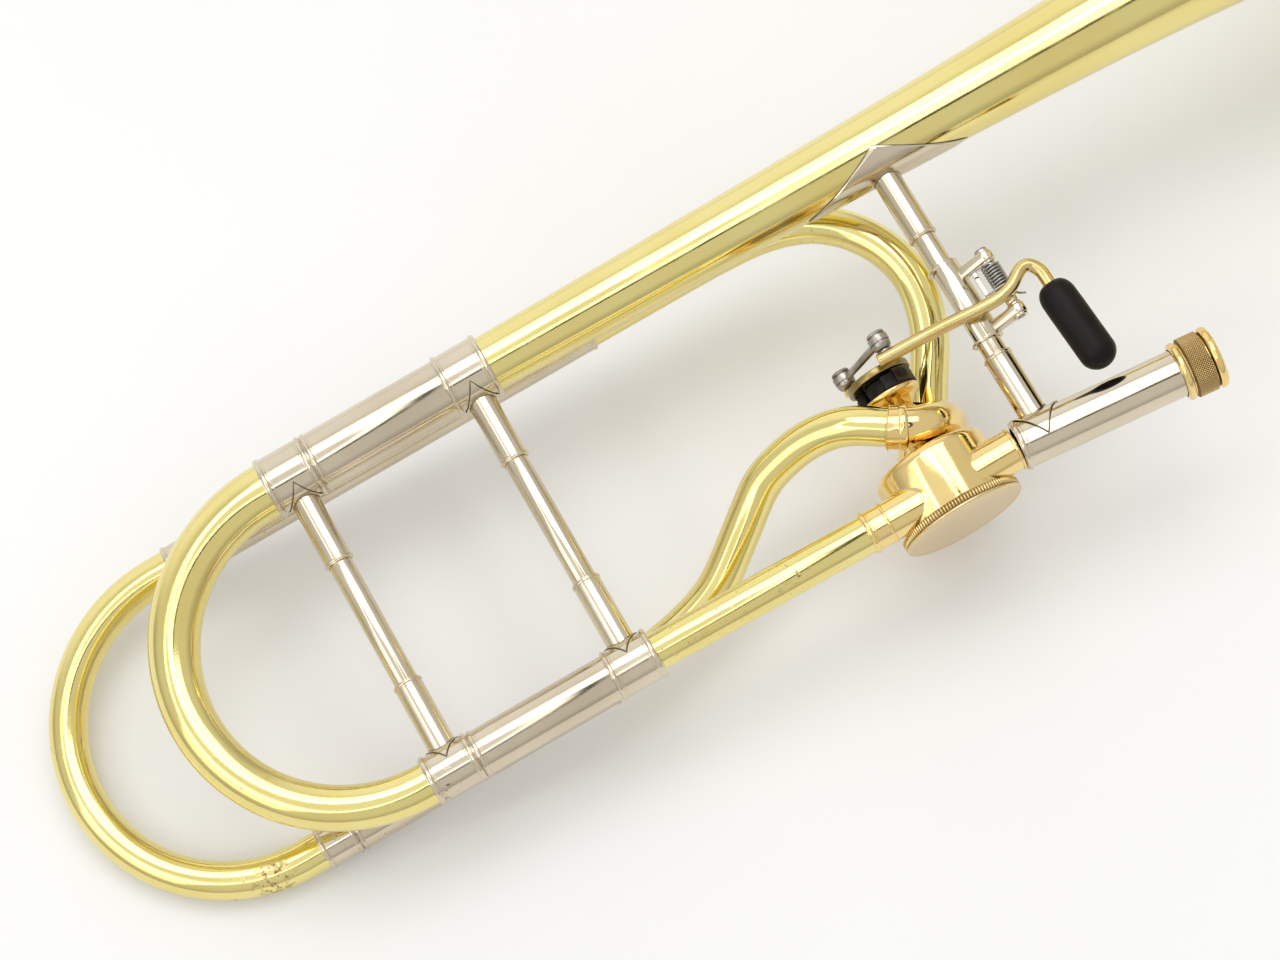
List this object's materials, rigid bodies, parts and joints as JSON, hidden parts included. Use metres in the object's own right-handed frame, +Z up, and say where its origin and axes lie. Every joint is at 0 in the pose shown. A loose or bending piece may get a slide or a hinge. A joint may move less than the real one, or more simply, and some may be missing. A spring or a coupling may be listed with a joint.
{
  "type": "trombone bell section",
  "caption": "Trombone bell section with an open-wrap F attachment, rotary valve and thumb lever; it has no hand slide.",
  "frame": {"origin": "bottom centre of the bounding box, on the floor it rests on", "axes": "+X along the tubes toward the bell, +Y from the slide side to the bell side, +Z up, away from the F attachment"},
  "size_m": [0.6644, 0.245, 0.2185],
  "materials": {
    "yellow_brass": "polished, clear lacquer",
    "rose_brass": "polished, clear lacquer",
    "nickel_silver": "polished nickel silver",
    "steel": "worn plated steel",
    "spring_steel": "blued wire",
    "bumper_rubber": "matt",
    "grip_plastic": "satin dark brown"
  },
  "bodies": {
    "horn": {"bearing_housing": "rose_brass", "bell": "yellow_brass", "bell_brace_foot_lower": "nickel_silver", "bell_brace_foot_upper": "nickel_silver", "bell_brace_socket_lower": "nickel_silver", "bell_brace_socket_upper": "nickel_silver", "bell_brace_tube": "nickel_silver", "bell_joint_ferrule": "nickel_silver", "f_crook_lower": "yellow_brass", "f_crook_upper": "yellow_brass", "f_outer_lower": "nickel_silver", "f_outer_upper": "nickel_silver", "f_port_lower": "rose_brass", "f_port_upper": "rose_brass", "f_stay": "nickel_silver", "gooseneck": "yellow_brass", "gooseneck_joint_ferrule": "nickel_silver", "gooseneck_valve_ferrule": "rose_brass", "hand_brace_foot_lower": "nickel_silver", "hand_brace_foot_upper": "nickel_silver", "hand_brace_socket_lower": "nickel_silver", "hand_brace_socket_upper": "nickel_silver", "hand_brace_tube": "nickel_silver", "lever_hinge_rod": "steel", "lever_saddle": "nickel_silver", "receiver_neck_pipe": "rose_brass", "return_spring": "spring_steel", "rotor_bearing_plate": "yellow_brass", "slide_outer_lower": "nickel_silver", "slide_outer_upper": "nickel_silver", "slide_receiver": "nickel_silver", "stop_bumpers": "bumper_rubber", "valve_cap": "rose_brass", "valve_casing": "rose_brass"},
    "tuning_slide": {"tuning_bow": "yellow_brass", "tuning_ferrule_upper": "nickel_silver", "tuning_ferrule_lower": "nickel_silver", "tuning_inner_upper": "nickel_silver", "tuning_inner_lower": "nickel_silver", "slide_brace_socket_upper": "nickel_silver", "slide_brace_socket_lower": "nickel_silver", "slide_brace_tube": "nickel_silver", "slide_brace_foot_upper": "nickel_silver", "slide_brace_foot_lower": "nickel_silver"},
    "f_slide": {"f_bow": "yellow_brass", "f_bow_ferrule_upper": "nickel_silver", "f_bow_ferrule_lower": "nickel_silver", "f_inner_upper": "nickel_silver", "f_inner_lower": "nickel_silver"},
    "thumb_lever": {"lever_hinge_tube": "yellow_brass", "lever_rod": "yellow_brass", "thumb_grip": "grip_plastic", "lever_ball_stud": "steel"},
    "rotor": {"rotor": "yellow_brass", "stop_wheel": "yellow_brass", "stop_wheel_screw": "steel"},
    "link": {"link_socket_lever": "steel", "link_socket_wheel": "steel", "link_rod": "steel"},
    "locking_nut": {"receiver_nut": "yellow_brass"}
  },
  "joints": [
    {"name": "tuning_slide_pull", "type": "slide", "parent": "horn", "child": "tuning_slide", "axis": [-0.995, 0, -0.1002], "range_m": [0, 0.04]},
    {"name": "f_slide_pull", "type": "slide", "parent": "horn", "child": "f_slide", "axis": [-0.995, 0, -0.1002], "range_m": [0, 0.07]},
    {"name": "lever_press", "type": "hinge", "parent": "horn", "child": "thumb_lever", "pos_m": [0.03586, -0.05399, 0.08117], "axis": [-0.0097, 0.9953, 0.0967], "range_deg": [0, 21], "stiffness_Nm_per_rad": 0.05, "springref_deg": -60.16},
    {"name": "rotor_turn", "type": "hinge", "parent": "horn", "child": "rotor", "pos_m": [-0.01314, -0.10335, 0.05271], "axis": [-0.0097, 0.9953, 0.0967], "range_deg": [0, 90]},
    {"name": "link_swing", "type": "hinge", "parent": "thumb_lever", "child": "link", "pos_m": [-0.0104, -0.04996, 0.0764], "axis": [-0.0097, 0.9953, 0.0967], "range_deg": [-31.6, 0]},
    {"name": "nut_turn", "type": "hinge", "parent": "horn", "child": "locking_nut", "pos_m": [0.07307, -0.11005, 0.07235], "axis": [0.9916, -0.0919, 0.0908], "continuous": true}
  ],
  "couplings": [
    {"joint": "rotor_turn", "follows": "lever_press", "ratio": 4.285},
    {"joint": "link_swing", "follows": "lever_press", "ratio": -1.5}
  ]
}
